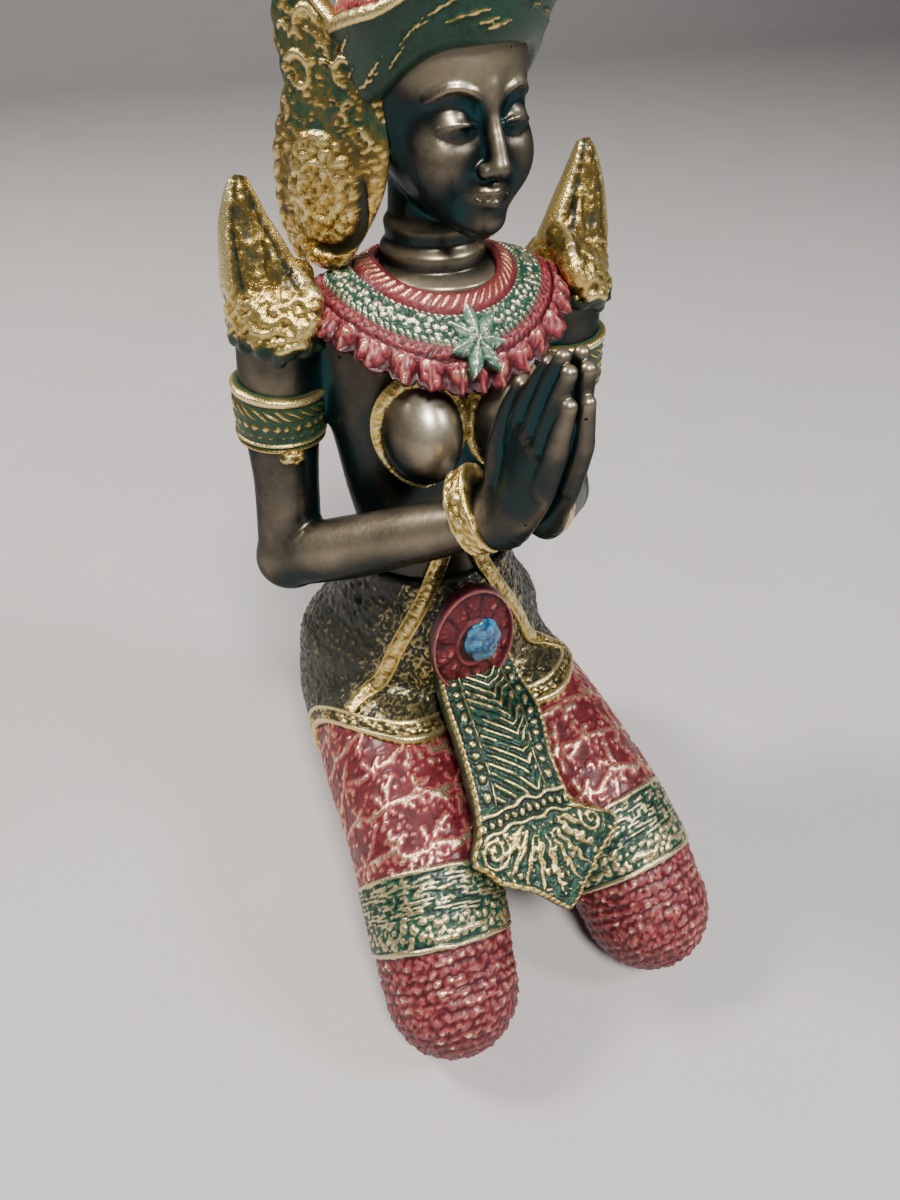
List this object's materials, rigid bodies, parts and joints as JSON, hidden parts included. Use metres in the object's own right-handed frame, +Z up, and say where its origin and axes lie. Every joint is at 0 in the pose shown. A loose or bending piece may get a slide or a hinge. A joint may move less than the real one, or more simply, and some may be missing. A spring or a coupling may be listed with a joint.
{
  "type": "kneeling praying figure",
  "caption": "Kneeling crowned figure with palms pressed together, cast as one piece in bronze and painted, in a patterned wrap, a broad collar, armbands and a tall pointed crown",
  "frame": {"origin": "on the ground under the middle of the bounding box", "axes": "+Z up to the point of the crown, the figure faces -Y, its left hand is at +X"},
  "size_m": [0.1022, 0.1499, 0.3],
  "materials": {
    "bronze_skin": "dark brown and green patina, semi gloss, rubbed to warm bronze on raised places",
    "gold": "gold paint brushed over raised ornament, worn",
    "red_paint": "brick red paint, satin, dusted with gold",
    "green_paint": "dark green paint, satin, gold on the raised pattern",
    "blue_stone": "glossy blue stone in the belt clasp"
  },
  "bodies": {
    "root": {"praying_figure": "bronze_skin"}
  },
  "joints": []
}
